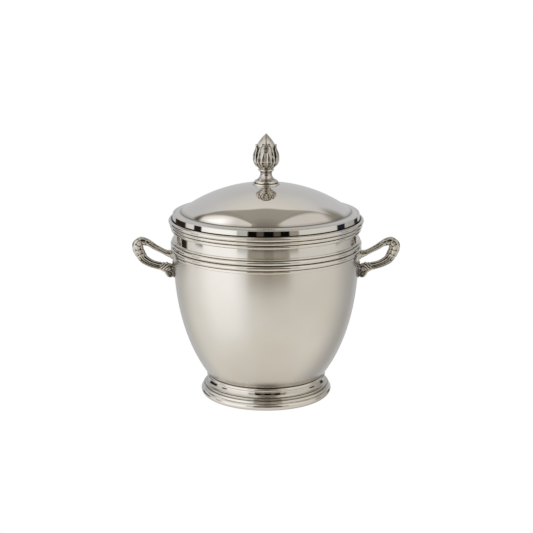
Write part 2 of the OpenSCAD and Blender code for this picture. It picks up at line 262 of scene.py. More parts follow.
# the studio as directions seen from the bowl: azimuth 0 is the camera's side, + is right, degrees
studio = {
    # elevation and colour from the table below to the ceiling above
    "sky": [(-90, "#D2CDC3"), (-70, "#E1DCD3"), (-45, "#EBE7DF"), (-16, "#E3DFD7"), (0, "#DAD9D6"),
            (30, "#CFD1D3"), (52, "#B4AFA6"), (58, "#A49F96"), (72, "#A09A90"), (80, "#86817A"),
            (90, "#847F78")],
    # azimuth, elevation, width, height, soft edge across and up, colour, strength if not 1
    "room": [
        (-67, 10, 80, 96, 72, 50, "#FFFFFF"),  # key softbox, left
        (-57, 0, 52, 70, 30, 36, "#FFFFFF", 1.22),  # its bright middle
        (66, 22, 70, 56, 50, 40, "#EDEBE6"),  # fill, right
        (138, -30, 60, 110, 50, 40, "#B4B3B1"),  # grey wall, right and behind
        (-152, -16, 46, 60, 40, 40, "#C2C4C4"),  # grey wall, left and behind
        (0, 46, 150, 34, 40, 16, "#FFFDFA"),  # ceiling light in front
        (-130, 60, 42, 60, 6, 6, "#9C968C"),  # ceiling beside the overhead boxes
        (130, 60, 42, 60, 6, 6, "#9C968C"),
    ],
    # width, height above the table, soft edge as a share, squareness, colours below and above
    "backWall": (70, 61, 0.06, 3.5, "#C8C9CB", "#E0DCD6"),
    "lights": [
        (-129, 59, 30, 41, 3, 5, "#DEDBD5"),  # overhead box, left, brightest at its foot
        (-127, 50, 26, 22, 12, 14, "#FFFFFF", 1.3),
        (132, 59, 30, 36, 5, 8, "#D6D2CE"),  # overhead box, right
    ],
    "flags": [
        (-140, 33, 12, 10, 6, 5, "#5E5446"),  # dark corners behind
        (147, 30, 10, 14, 8, 8, "#8B8880"),
        (3, -11, 51, 16, 4, 5, "#A79F92"),  # shaded table in front
        (3, -11, 12, 16, 3, 5, "#958E82"),
        (4, 42, 46, 42, 20, 8, "#9A948B"),  # wall above the camera
        (4, 9, 50, 26, 16, 2, "#5A534B"),  # dim wall behind the camera
        (2, 57, 16, 14, 14, 8, "#5C554A"),  # beam across the ceiling
        (-29, 10, 12, 30, 3, 3, "#C9CDC9"),  # door beside it, left
        (34, 10, 11, 30, 3, 3, "#A79F92"),  # door beside it, right
        (-16.5, 9.5, 11, 25, 2.5, 2, "#0D0C0B"),  # three black flags beside the camera
        (3, 9.5, 12, 25, 2.5, 2, "#0B0B0C"),
        (22.5, 9.5, 11, 25, 2.5, 2, "#0D0D0E"),
        (-90, -1, 13, 11, 3, 2, "#2B251D"),  # black edges of the side panels
        (-128, -4, 30, 18, 5, 3, "#2F271D"),
        (102, -1, 15, 11, 3, 2, "#222838"),
        (141, -4, 14, 18, 5, 3, "#34322F"),
    ],
}


def angleAway(tree, place, centre):
    # how far an angle is from a centre, the short way round
    off = addNode(tree, "Math", {"operation": "SUBTRACT", 1: centre}, {0: place})
    turn = addNode(tree, "Math", {"operation": "WRAP", 1: math.pi, 2: -math.pi}, {0: off.outputs[0]})
    return addNode(tree, "Math", {"operation": "ABSOLUTE"}, {0: turn.outputs[0]}).outputs[0]


def addBackWall(tree, azimuth, elevation, under):
    # the wall behind the bowl, its upper corners rounded
    width, height, soft, power, below, above = studio["backWall"]
    parts = []
    for place, start, size in ((azimuth, math.pi, width / 2), (elevation, 0, height)):
        share = addNode(tree, "Math", {"operation": "DIVIDE", 1: math.radians(size)},
                        {0: angleAway(tree, place, start)})
        parts.append(addNode(tree, "Math", {"operation": "POWER", 1: power}, {0: share.outputs[0]}))
    total = addNode(tree, "Math", {"operation": "ADD"}, {0: parts[0].outputs[0], 1: parts[1].outputs[0]})
    mask = addNode(tree, "MapRange",
                   {"interpolation_type": "SMOOTHSTEP", "From Min": 1 + soft, "From Max": 1 - soft},
                   {"Value": total.outputs[0]})
    rise = addNode(tree, "MapRange",
                   {"From Min": math.radians(height * 0.5), "From Max": math.radians(height * 0.95)},
                   {"Value": elevation})
    tone = addNode(tree, "Mix", {"data_type": "RGBA", 6: hexColour(below), 7: hexColour(above)},
                   {0: rise.outputs[0]})
    mixed = addNode(tree, "Mix", {"data_type": "RGBA"},
                    {0: mask.outputs[0], 6: under, 7: tone.outputs[2]})
    return mixed.outputs[2]


def addPatch(tree, azimuth, elevation, under, patch):
    # a soft-edged rectangle of light or shade over what is under it
    across, up, width, height, softAcross, softUp, code, *strength = patch
    masks = []
    for place, centre, size, soft in ((azimuth, across, width, softAcross), (elevation, up, height, softUp)):
        edges = {"interpolation_type": "SMOOTHSTEP", "From Min": math.radians((size + soft) / 2),
                 "From Max": math.radians(max(size - soft, 0) / 2)}
        away = angleAway(tree, place, math.radians(centre))
        masks.append(addNode(tree, "MapRange", edges, {"Value": away}))
    mask = addNode(tree, "Math", {"operation": "MULTIPLY"},
                   {0: masks[0].outputs[0], 1: masks[1].outputs[0]})
    colour = [c * (strength or [1.0])[0] for c in hexColour(code)[:3]] + [1.0]
    mixed = addNode(tree, "Mix", {"data_type": "RGBA", 7: colour}, {0: mask.outputs[0], 6: under})
    return mixed.outputs[2]


def lightStudio():
    world = bpy.data.worlds.new("paleStudio")
    bpy.context.scene.world = world
    world.use_nodes = True
    tree = world.node_tree
    tree.nodes.clear()
    place = addNode(tree, "TexCoord")
    parts = addNode(tree, "SeparateXYZ", {}, {0: place.outputs["Generated"]})
    ahead = addNode(tree, "Math", {"operation": "MULTIPLY", 1: -1.0}, {0: parts.outputs[1]})
    azimuth = addNode(tree, "Math", {"operation": "ARCTAN2"}, {0: parts.outputs[0], 1: ahead.outputs[0]})
    elevation = addNode(tree, "Math", {"operation": "ARCSINE"}, {0: parts.outputs[2]})
    share = addNode(tree, "MapRange", {"From Min": -math.pi / 2, "From Max": math.pi / 2},
                    {"Value": elevation.outputs[0]})
    ramp = addNode(tree, "ValToRGB", {}, {0: share.outputs[0]})
    stops = ramp.color_ramp.elements
    while len(stops) < len(studio["sky"]):
        stops.new(0.5)
    for stop, (height, colour) in zip(stops, studio["sky"]):
        stop.position = (height + 90) / 180
        stop.color = hexColour(colour)
    light = ramp.outputs[0]
    for patch in studio["room"]:
        light = addPatch(tree, azimuth.outputs[0], elevation.outputs[0], light, patch)
    light = addBackWall(tree, azimuth.outputs[0], elevation.outputs[0], light)
    for patch in studio["lights"] + studio["flags"]:
        light = addPatch(tree, azimuth.outputs[0], elevation.outputs[0], light, patch)
    path = addNode(tree, "LightPath")
    seen = addNode(tree, "Mix", {"data_type": "RGBA", 7: (1, 1, 1, 1)},
                   {0: path.outputs["Is Camera Ray"], 6: light})
    shine = addNode(tree, "Background", {}, {"Color": seen.outputs[2]})
    addNode(tree, "OutputWorld", {}, {"Surface": shine.outputs[0]})
    bpy.context.scene.view_settings.view_transform = "Standard"


def layFloor():
    # white sweep paper, fully lit: the bowl's reflections come from the studio alone
    startPiece()
    bpy.ops.mesh.primitive_plane_add(size=6, location=(0, 0, -0.0005))
    floor = bpy.context.object
    floor.name = "paleFloor"
    paper = bpy.data.materials.new("whitePaper")
    paper.use_nodes = True
    tree = paper.node_tree
    tree.nodes.clear()
    path = addNode(tree, "LightPath")
    side = addNode(tree, "NewGeometry")
    front = addNode(tree, "Math", {"operation": "SUBTRACT", 0: 1.0}, {1: side.outputs["Backfacing"]})
    shown = addNode(tree, "Math", {"operation": "MULTIPLY"},
                    {0: path.outputs["Is Camera Ray"], 1: front.outputs[0]})
    clear = addNode(tree, "BsdfTransparent")
    white = addNode(tree, "Emission", {"Color": (1, 1, 1, 1)})
    mixed = addNode(tree, "MixShader", {}, {0: shown.outputs[0], 1: clear.outputs[0], 2: white.outputs[0]})
    addNode(tree, "OutputMaterial", {}, {"Surface": mixed.outputs[0]})
    floor.data.materials.append(paper)


lightStudio()
layFloor()
print("studio and camera ready")

silver = {
    "sheet": ("#EAE7E2", "#E6E2DA"),  # cleaner and warmer places of the polished sheet
    "wire": ("#DEDAD4", "#D9D3C9"),  # the same of drawn wire
    "cast": "#CBC6BC",
    # tarnish with painted shade for the cast pieces' hollows
    "tarnishAndShade": "#1E1A16",
    # painted shade for the hollows of sheet and wire pieces
    "groove": "#55493A",
    "blotch": 22,  # size of the warm places, mm
    "hairline": 0.25,  # spacing of buffing marks, mm, coarser than real so that it shows
    "ripple": 6,  # size of the faint waves that spinning leaves, mm
    "castGrain": 1.6,  # size of the casting's uneven skin, mm
    "toolMark": 0.2,  # spacing of the lathe's marks on steel, mm
}

# how steep a hollow has to be before its painted shade is full; a large value leaves an even, faint tone of
# painted shade
hollowDepth = {"plain": 4, "reeds": 0.08, "foot": 0.2, "pedestal": 0.12, "leaves": 0.16, "handles": 0.035}


def newFinish(name, roughness):
    finish = bpy.data.materials.new(name)
    finish.use_nodes = True
    tree = finish.node_tree
    tree.nodes.clear()
    shader = addNode(tree, "BsdfPrincipled", {"Metallic": 1.0, "Roughness": roughness})
    addNode(tree, "OutputMaterial", {}, {"Surface": shader.outputs[0]})
    return finish, tree, shader, addNode(tree, "TexCoord").outputs["Object"]


def polishedSilver(name, polish, waviness, satin=None, tones="sheet"):
    # sterling sheet, spun and buffed: mirror-bright, a little warm, faint buffing marks round it;
    # satin gives a height in mm below which the sheet is left satin, and its roughness
    finish, tree, shader, place = newFinish(name, polish)
    blotch = addNode(tree, "TexNoise", {"Scale": 1 / (silver["blotch"] * mm), "Detail": 3.0},
                     {"Vector": place})
    tone = addNode(tree, "MapRange", {"From Min": 0.35, "From Max": 0.7}, {"Value": blotch.outputs[0]})
    clean, warm = silver[tones]
    tint = addNode(tree, "Mix", {"data_type": "RGBA", 6: hexColour(clean), 7: hexColour(warm)},
                   {0: tone.outputs[0]})
    # painted shade: the groove colour goes where the hollow attribute is high
    hollow = addNode(tree, "Attribute", {"attribute_name": "hollow"})
    dark = addNode(tree, "Mix", {"data_type": "RGBA", 7: hexColour(silver["groove"])},
                   {0: hollow.outputs["Fac"], 6: tint.outputs[2]})
    tree.links.new(dark.outputs[2], shader.inputs["Base Color"])
    stretched = addNode(tree, "Mapping", {"Scale": (0.03, 0.03, 1.0)}, {"Vector": place})
    marks = addNode(tree, "TexNoise", {"Scale": 1 / (silver["hairline"] * mm), "Detail": 4.0},
                    {"Vector": stretched.outputs[0]})
    rough = addNode(tree, "MapRange",
                    {"From Min": 0.3, "From Max": 0.75, "To Min": polish * 0.85, "To Max": polish * 1.25},
                    {"Value": marks.outputs[0]})
    roughness = rough.outputs[0]
    if satin:
        edge, dull = satin
        height = addNode(tree, "SeparateXYZ", {}, {0: place})
        low = addNode(tree, "MapRange",
                      {"From Min": (edge + 1) * mm, "From Max": edge * mm, "To Max": dull - polish},
                      {"Value": height.outputs[2]})
        total = addNode(tree, "Math", {"operation": "ADD"}, {0: roughness, 1: low.outputs[0]})
        roughness = total.outputs[0]
    tree.links.new(roughness, shader.inputs["Roughness"])
    wave = addNode(tree, "TexNoise", {"Scale": 1 / (silver["ripple"] * mm), "Detail": 1.0},
                   {"Vector": place})
    fine = addNode(tree, "Bump", {"Strength": 0.003, "Distance": 0.05 * mm}, {"Height": marks.outputs[0]})
    soft = addNode(tree, "Bump", {"Strength": waviness, "Distance": 0.2 * mm},
                   {"Height": wave.outputs[0], "Normal": fine.outputs[0]})
    tree.links.new(soft.outputs[0], shader.inputs["Normal"])
    return finish


def castSilver():
    # lost-wax casting, polished on the high parts: tarnish and painted shade darken the hollows
    finish, tree, shader, place = newFinish("castSilverWithTarnishAndShade", 0.1)
    hollow = addNode(tree, "Attribute", {"attribute_name": "hollow"})
    grain = addNode(tree, "TexNoise", {"Scale": 1 / (silver["castGrain"] * mm), "Detail": 2.0},
                    {"Vector": place})
    uneven = addNode(tree, "MapRange", {"From Min": 0.3, "From Max": 0.7, "To Min": 0.8, "To Max": 1.5},
                     {"Value": grain.outputs[0]})
    amount = addNode(tree, "Math", {"operation": "MULTIPLY", "use_clamp": True},
                     {0: hollow.outputs["Fac"], 1: uneven.outputs[0]})
    tint = addNode(tree, "Mix",
                   {"data_type": "RGBA", 6: hexColour(silver["cast"]), 7: hexColour(silver["tarnishAndShade"])},
                   {0: amount.outputs[0]})
    tree.links.new(tint.outputs[2], shader.inputs["Base Color"])
    rough = addNode(tree, "MapRange", {"To Min": 0.08, "To Max": 0.24}, {"Value": amount.outputs[0]})
    tree.links.new(rough.outputs[0], shader.inputs["Roughness"])
    skin = addNode(tree, "Bump", {"Strength": 0.05, "Distance": 0.06 * mm}, {"Height": grain.outputs[0]})
    tree.links.new(skin.outputs[0], shader.inputs["Normal"])
    return finish


def turnedSteel():
    # machined steel, left bright: fine tool marks
    finish, tree, shader, place = newFinish("turnedSteel", 0.28)
    marks = addNode(tree, "TexNoise", {"Scale": 1 / (silver["toolMark"] * mm), "Detail": 3.0},
                    {"Vector": place})
    tint = addNode(tree, "Mix", {"data_type": "RGBA", 6: hexColour("#B9B7B3"), 7: hexColour("#9C9A96")},
                   {0: marks.outputs[0]})
    tree.links.new(tint.outputs[2], shader.inputs["Base Color"])
    rough = addNode(tree, "MapRange", {"To Min": 0.2, "To Max": 0.42}, {"Value": marks.outputs[0]})
    tree.links.new(rough.outputs[0], shader.inputs["Roughness"])
    return finish


bellyTop = nodeBox("girdle_band")[0].z
spunFinish = polishedSilver("spunSilverSheet", 0.07, 0.008, (bellyTop, 0.24))
budFinish = polishedSilver("softPolishedSilver", 0.11, 0.02, tones="wire")
mouldedFinish = polishedSilver("drawnSilverWire", 0.065, 0.015, tones="wire")
domeFinish = polishedSilver("mirrorSilverSheet", 0.035, 0.008)
castFinish = castSilver()
steelFinish = turnedSteel()


def fitPiece(piece, body, node, finish):
    piece.data.materials.clear()
    piece.data.materials.append(finish)
    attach(piece, body)
    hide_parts(node)


# the bowl's own measures, mm, beside those that the frame gives
bowl = {"wall": 1.2, "neckStep": 0.4, "squareness": 2.12, "reach": 1.27, "curveSteps": 60,
        "edge": 0.3, "floorCorner": (2.2, 1.6), "waistStep": 0.6, "floorReach": 20}

shellLow, shellHigh = nodeBox("bowl_shell")
girdleLow, girdleHigh = nodeBox("girdle_band")
beadLow, beadHigh = nodeBox("foot_collar")
rimLow, rimHigh = nodeBox("rim_mount")
bellyRadius = shellHigh.x
neckRadius = bellyRadius - bowl["neckStep"]
mouthRadius = neckRadius - bowl["wall"]
waistRadius = beadHigh.x - bowl["waistStep"]


def bellyReach(t):
    # outer radius of the belly, t from 0 under the girdle to 1 at the foot
    power = bowl["squareness"]

    def fall(s):
        return (1 - (s / bowl["reach"]) ** power) ** (1 / power)

    return waistRadius + (bellyRadius - waistRadius) * (fall(t) - fall(1)) / (1 - fall(1))


def bellyAt(z):
    return bellyReach((girdleLow.z - z) / (girdleLow.z - shellLow.z))


def bellyInside(z):
    # the inner wall keeps its thickness square to the curve
    slope = (bellyAt(min(z + 0.3, girdleLow.z)) - bellyAt(z - 0.3)) / (min(z + 0.3, girdleLow.z) - z + 0.3)
    return bellyAt(z) - bowl["wall"] * math.sqrt(1 + slope * slope)


def makeBowl():
    steps = bowl["curveSteps"]
    edge = bowl["edge"]
    floorZ = shellLow.z + bowl["wall"]
    rise = girdleLow.z - shellLow.z
    outline = [(0, shellLow.z)]
    outline += [(bellyAt(shellLow.z + rise * i / steps), shellLow.z + rise * i / steps)
                for i in range(steps + 1)]
    outline += arc(neckRadius - edge, shellHigh.z - edge, edge, 0, 90, 4)
    outline += arc(mouthRadius + edge, shellHigh.z - edge, edge, 90, 180, 4)
    outline.append((mouthRadius, girdleLow.z))
    inside = []
    for i in range(1, steps + 1):
        z = girdleLow.z - (girdleLow.z - floorZ) * i / steps
        inside.append((bellyInside(z), z))
    outline += inside[:-2]
    back, corner = bowl["floorCorner"]
    outline += arc(inside[-3][0] - back, floorZ + corner, corner, -20, -90, 5)
    outline.append((0, floorZ))
    piece = turnPiece("bowlShell", outline)

    def shadeAtFoot(x, z):
        # painted shade where the belly meets the bead
        return smoothStep(beadHigh.z + 0.8, beadHigh.z + 0.3, z) if x > bowl["floorReach"] else 0.0

    markHollows(piece, hollowDepth["plain"], shadeAtFoot)
    fitPiece(piece, "bowl", "bowl_shell", spunFinish)


# rim mouldings, heights in mm from the lip down
rim = {"lip": 2.3, "middleReed": 1.8, "lowReed": 2.1, "ledge": 0.5, "groove": 74,
       "middleBack": 0.35, "lowBack": 1.15, "lidGap": 0.6, "lidGroove": (0.5, 0.9), "mouthEdge": 0.2}


def makeRim():
    top = rimHigh.z
    lip = rim["lip"] / 2
    middle = rim["middleReed"] / 2
    low = rim["lowReed"] / 2
    lipX = rimHigh.x - lip
    ledgeZ = top - rim["ledge"]
    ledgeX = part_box("lid_rim_band")[1].x / mm + rim["lidGap"]
    inner = neckRadius + jointGap
    grooveX = ledgeX - rim["lidGroove"][0]
    grooveZ = ledgeZ - rim["lidGroove"][1]
    edge = rim["mouthEdge"]
    groove = rim["groove"]
    outline = [(grooveX, ledgeZ), (grooveX, grooveZ), (ledgeX, grooveZ), (ledgeX, top - 0.12)]
    outline += arc(lipX, top - lip, lip, 90, -groove, 16)
    outline += arc(lipX - rim["middleBack"], top - rim["lip"] - middle, middle, groove, -groove, 14)
    outline += arc(lipX - rim["lowBack"], rimLow.z + low, low, groove, -90, 14)
    outline += [(inner, rimLow.z), (inner, shellHigh.z + jointGap),
                (mouthRadius + 0.1, shellHigh.z + jointGap)]
    outline += arc(mouthRadius + edge, ledgeZ - edge, edge, 180, 90, 3)
    outline.append(outline[0])
    piece = turnPiece("rimMouldings", outline)
    # painted shade in the reeds' grooves and all over the seat groove under the lid
    markHollows(piece, hollowDepth["reeds"], lambda x, z: 1.0 if x < ledgeX + 0.1 and z > ledgeZ - 1 else 0.0)
    fitPiece(piece, "bowl", "rim_mount", mouldedFinish)


# girdle mouldings: a thin fillet, two broad reeds and a low fillet
girdle = {"reed": 2.5, "lowFillet": 1.5, "filletBack": 0.7, "round": 0.35, "groove": 70}


def makeGirdle():
    edge = girdleHigh.x
    fillet = edge - girdle["filletBack"]
    half = girdle["reed"] / 2
    soft = girdle["round"]
    reedZ = girdleLow.z + girdle["lowFillet"]
    outline = [(bellyRadius + jointGap, girdleLow.z)]
    outline += arc(fillet - soft, girdleLow.z + soft, soft, -90, 0, 4)
    outline += arc(fillet - soft, reedZ - soft, soft, 0, 60, 4)
    for k in range(2):
        outline += arc(edge - half, reedZ + half * (2 * k + 1), half, -girdle["groove"], girdle["groove"], 16)
    outline += arc(fillet - soft, reedZ + 4 * half + soft, soft, -60, 0, 4)
    outline += arc(fillet - soft, girdleHigh.z - soft, soft, 0, 90, 4)
    outline += [(neckRadius + 0.02, girdleHigh.z), (neckRadius + 0.02, girdleLow.z + 0.8), outline[0]]
    piece = turnPiece("girdleMouldings", outline)
    # painted shade in the grooves between the reeds
    markHollows(piece, hollowDepth["reeds"])
    fitPiece(piece, "bowl", "girdle_band", mouldedFinish)


# foot, from the bead down: cove, two steps and the base wire
foot = {"step": 1.1, "stepBack": (1.1, 2.0), "lowRound": 2.2, "wall": 1.2, "edge": 0.22,
        "wireDepth": 3.2, "beadDepth": 2, "coveSteps": 16, "coveLedge": 0.5, "innerEdge": 0.3}


def makeFoot():
    ringLow, ringHigh = nodeBox("foot_ring")
    wireHigh = nodeBox("foot_base_wire")[1]
    radius = wireHigh.x
    bead = (beadHigh.z - beadLow.z) / 2
    beadX = beadHigh.x - bead
    beadInner = beadX - foot["beadDepth"]
    outline = [(beadInner, beadLow.z)] + arc(beadX, beadLow.z + bead, bead, -90, 90, 16)
    outline += [(beadInner, beadHigh.z), (beadInner, beadLow.z)]
    piece = turnPiece("footBead", outline)
    # painted shade in the bead's hollows and along its top, where it meets the belly
    markHollows(piece, hollowDepth["foot"], lambda x, z: smoothStep(beadHigh.z - 0.25, beadHigh.z, z))
    fitPiece(piece, "bowl", "foot_collar", mouldedFinish)

    edge = foot["edge"]
    stepsZ = ringLow.z + 2 * foot["step"]
    lowX = radius - foot["stepBack"][0]
    topX = radius - foot["stepBack"][1]
    coveX = waistRadius - bowl["waistStep"]
    coveWide = topX - foot["coveLedge"] - coveX
    coveHigh = ringHigh.z - stepsZ
    inner = radius - foot["wireDepth"]
    outline = [(coveX - foot["wall"], ringHigh.z), (coveX, ringHigh.z)]
    for i in range(1, foot["coveSteps"] + 1):
        a = math.radians(90 * i / foot["coveSteps"])
        outline.append((coveX + coveWide * (1 - math.cos(a)), ringHigh.z - coveHigh * math.sin(a)))
    outline += arc(topX - edge, stepsZ - edge, edge, 90, 0, 4)
    outline.append((topX, stepsZ - foot["step"]))
    outline += arc(lowX - edge, stepsZ - foot["step"] - edge, edge, 90, 0, 4)
    outline += [(lowX, ringLow.z), (inner, ringLow.z), (inner, stepsZ - foot["wall"]),
                (coveX - foot["wall"], ringHigh.z - foot["wall"]), outline[0]]
    piece = turnPiece("footRing", outline)
    # painted shade in the cove and the steps' hollows
    markHollows(piece, hollowDepth["foot"])
    fitPiece(piece, "bowl", "foot_ring", mouldedFinish)

    low = foot["lowRound"]
    high = wireHigh.z - low
    edge = foot["innerEdge"]
    outline = [(inner, edge)] + arc(inner + edge, edge, edge, 180, 270, 3)
    outline += arc(radius - low, low, low, -90, 0, 12)
    outline += arc(radius - high, low, high, 0, 90, 10)
    outline += [(inner, wireHigh.z), (inner, edge)]
    piece = turnPiece("footBaseWire", outline)
    fitPiece(piece, "bowl", "foot_base_wire", mouldedFinish)


makeBowl()
makeRim()
makeGirdle()
makeFoot()
print("bowl, rim, girdle and foot turned")

# lid: dome, sloping flange, upright band and the ring that centres it in the mouth
lid = {"wall": 1.0, "flange": 3.0, "fall": 0.7, "crease": 4.0, "fillet": 1.7, "notch": 0.75,
       "notchDepth": 0.9, "lean": 0.26, "domeSteps": 70, "edge": 0.3, "seat": 1.4,
       "bandEdge": 0.2, "ringWall": 0.9, "ringEdge": 0.3, "creaseShade": (0.8, 0.55)}

domeLow, domeHigh = nodeBox("lid_dome")
bandLow, bandHigh = nodeBox("lid_rim_band")
flangeRadius = domeHigh.x
creaseRadius = flangeRadius - lid["flange"]
creaseZ = bandHigh.z + lid["fall"]
domeRadius = (creaseRadius ** 2 + (domeHigh.z - creaseZ) ** 2) / (2 * (domeHigh.z - creaseZ))
domeCentre = domeHigh.z - domeRadius
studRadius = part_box("finial_stud")[1].x / mm


def domeArc(radius, start, end, steps):
    # the dome's curve between two distances from the axis
    points = []
    for i in range(steps + 1):
        x = start + (end - start) * i / steps
        points.append((x, domeCentre + math.sqrt(radius ** 2 - x ** 2)))
    return points


def makeLid():
    hole = studRadius + slideGap
    start = creaseRadius - lid["fillet"]
    outline = domeArc(domeRadius, hole, start, lid["domeSteps"])
    # the dome runs into the flange through a hollow fillet, and the flange's edge is rolled over
    slope = start / math.sqrt(domeRadius ** 2 - start ** 2)
    fall = lid["fall"] / lid["flange"]
    drop = outline[-1][1] - (creaseZ - (start - creaseRadius) * fall)
    corner = start + drop / (slope - fall)
    cornerZ = outline[-1][1] - slope * (corner - start)
    edgeX = flangeRadius - lid["edge"]
    edge = (edgeX, cornerZ - (edgeX - corner) * fall)
    seatX = creaseRadius - lid["seat"]
    outline += roundCorner(outline[-1], (corner, cornerZ), edge, lid["crease"], 14)
    outline += [edge] + arc(edgeX, bandHigh.z - 0.2, lid["edge"], 75, 0, 4)
    outline += [(flangeRadius, domeLow.z), (seatX, domeLow.z)]
    outline += domeArc(domeRadius - lid["wall"], seatX - 1, hole, lid["domeSteps"])
    outline.append(outline[0])
    piece = turnPiece("lidDome", outline)
    shade, width = lid["creaseShade"]
    under = domeLow.z + 0.4
    markHollows(piece, None, lambda x, z: shade * hump(x, creaseRadius, width) if z > under else 0.0)
    fitPiece(piece, "lid", "lid_dome", domeFinish)

    # the band's foot is cut back and the cut is painted with shade, so a dark line parts it from the bowl's
    # lip
    inner = flangeRadius + jointGap
    edge = bandHigh.x
    soft = lid["bandEdge"]
    notch = bandLow.z + lid["notch"]
    back = max(edge - lid["notchDepth"], inner + 0.1)
    outline = [(inner, bandLow.z), (back, bandLow.z), (back, notch), (edge - 0.06, notch),
               (edge, notch + 0.08)]
    outline += arc(edge - lid["lean"] - soft, bandHigh.z - soft, soft, 8, 90, 6)
    outline += [(inner, bandHigh.z), (inner, bandLow.z)]
    piece = turnPiece("lidRimBand", outline)
    markHollows(piece, hollowDepth["plain"], lambda x, z: 1.0 if z < notch + 0.02 else 0.0)
    fitPiece(piece, "lid", "lid_rim_band", domeFinish)

    ringLow, ringHigh = nodeBox("lid_bezel")
    outer = ringHigh.x
    inner = outer - lid["ringWall"]
    soft = lid["ringEdge"]
    outline = arc(outer - soft, ringLow.z + soft, soft, 0, -90, 4)
    outline += arc(inner + soft, ringLow.z + soft, soft, -90, -180, 4)
    outline += [(inner, ringHigh.z), (outer, ringHigh.z), outline[0]]
    piece = turnPiece("lidLocatingRing", outline)
    fitPiece(piece, "lid_guide", "lid_bezel", spunFinish)


makeLid()
print("lid turned")

# finial: a turned pedestal, four leaves round a four-sided bud, and its fixings inside the lid
finial = {"discEdge": 0.7, "ringEdge": 0.85, "ringBack": 0.95, "ringDrop": 0.35, "stem": 2.85,
          "stemRise": 5, "flareSteps": 12, "cup": 4.0, "cupEdge": 0.45, "leafWall": 0.6,
          "leafGrid": (48, 84), "widestAt": 0.36, "tipReach": 5.0, "leafTips": (1.08, 1.0),
          "backInset": 1.0, "backTip": 0.86, "leafLift": 0.03, "budHalf": 4.7, "budSquare": 1.75,
          "spireSteps": 30, "coreShare": 0.54, "coreInset": 1.6, "coreBase": 0.65, "boreDepth": 5}

pedestalHigh = nodeBox("finial_pedestal")[1]
calyxHigh = nodeBox("finial_calyx")[1]
budHigh = nodeBox("finial_bud")[1]
cupZ = pedestalHigh.z


def makePedestal():
    disc = pedestalHigh.x
    edge = finial["discEdge"]
    ringEdge = finial["ringEdge"]
    stem = finial["stem"]
    cup = finial["cup"]
    cupEdge = finial["cupEdge"]
    seat = domeRadius + jointGap
    discZ = domeCentre + math.sqrt(seat ** 2 - disc ** 2)
    ringX = disc - finial["ringBack"] - ringEdge
    ringZ = discZ + edge + ringEdge - finial["ringDrop"]
    stemZ = domeHigh.z + finial["stemRise"]
    hole = studRadius + jointGap
    outline = [(hole, domeCentre + math.sqrt(seat ** 2 - hole ** 2))]
    outline += domeArc(seat, hole + 0.5, disc - edge, 10)
    outline += arc(disc - edge, discZ + 0.05, edge, -70, 62, 10)
    outline += arc(ringX, ringZ, ringEdge, -48, 78, 10)
    flareX = ringX - 0.1
    flareZ = ringZ + 0.75
    for i in range(1, finial["flareSteps"] + 1):
        up = i / finial["flareSteps"]
        outline.append((stem + (flareX - stem) * (1 - up) ** 2, flareZ + (stemZ - flareZ) * up))
    outline += [(stem + 0.02, stemZ + 0.3), (stem + 0.2, stemZ + 0.8), (stem + 0.55, stemZ + 1.3)]
    outline += arc(cup - cupEdge, cupZ - cupEdge - 0.1, cupEdge, -60, 60, 8)
    outline += [(cup - 0.35, cupZ), (hole, cupZ), outline[0]]
    piece = turnPiece("finialPedestal", outline, 160)
    # painted shade in the pedestal's hollows
    markHollows(piece, hollowDepth["pedestal"])
    fitPiece(piece, "lid", "finial_pedestal", mouldedFinish)


def leafReach(z):
    # outer radius over the leaves, z in mm above the cup
    t = z / (calyxHigh.z - cupZ)
    widest = calyxHigh.x
    root = finial["cup"] - 0.3
    belly = finial["widestAt"]
    if t < belly:
        return root + (widest - root) * math.sin(math.radians(90 * t / belly))
    return widest - (widest - finial["tipReach"]) * ((t - belly) / (1 - belly)) ** 1.8


# half width of a leaf up its length, mm
frontLeaf = [(0.0, 2.4), (0.3, 5.1), (0.42, 5.0), (0.6, 4.3), (0.75, 3.9), (0.87, 3.3), (0.95, 2.4),
             (1.0, 0.9)]
backLeaf = [(0.0, 1.2), (0.3, 2.3), (0.6, 2.0), (0.85, 1.2), (1.0, 0.3)]


def leafRelief(u, v):
    # a raised rim, two inner ridges that part downwards, a middle groove, a deep pocket each side
    # and a small dimple under the tip
    side = abs(u)
    inner = 0.28 + 0.24 * smoothStep(0.7, 0.25, v)
    rise = smoothStep(0.03, 0.15, v)
    relief = 0.38 * hump(side, 0.9, 0.15) * (1 - 0.35 * smoothStep(0.55, 0.8, v))
    relief += 0.26 * hump(side, inner, 0.15) * (1 - smoothStep(0.62, 0.78, v)) * rise
    relief -= 0.5 * hump(side, 0.0, 0.11) * (1 - smoothStep(0.52, 0.74, v))
    relief -= 0.45 * hump(side, 0.72, 0.1) * hump(v, 0.36, 0.16)
    relief -= 0.14 * hump(side, 0.0, 0.25) * hump(v, 0.82, 0.035)
    return relief + 0.12 * hump(v, 0.95, 0.04)


def ribRelief(u, v):
    return 0.35 * hump(u, 0.0, 0.3) - 0.25 * hump(abs(u), 0.6, 0.2)


def makeLeaf(turn, widths, relief, inset, tip):
    # a flat grid laid round the bud, cut to a leaf by its width, then given a wall
    across, along = finial["leafGrid"]
    startPiece()
    bpy.ops.mesh.primitive_grid_add(x_subdivisions=across, y_subdivisions=along, size=2)
    leaf = bpy.context.object
    height = (calyxHigh.z - cupZ) * tip - 0.05
    for vertex in leaf.data.vertices:
        u = vertex.co.x
        v = (vertex.co.y + 1) / 2
        half = blendStops(widths, v)
        z = v * height - 0.25 * u * u * smoothStep(0.8, 1.0, v)
        radius = min(leafReach(z) + relief(u, v) - 0.35 - inset, calyxHigh.x)
        angle = turn + u * half / max(radius, 3.4)
        leafZ = cupZ + finial["leafLift"] + z
        vertex.co = Vector((radius * math.sin(angle), -radius * math.cos(angle), leafZ)) * mm
    applyModifier(leaf, "SOLIDIFY", thickness=finial["leafWall"] * mm, offset=-1)
    return leaf


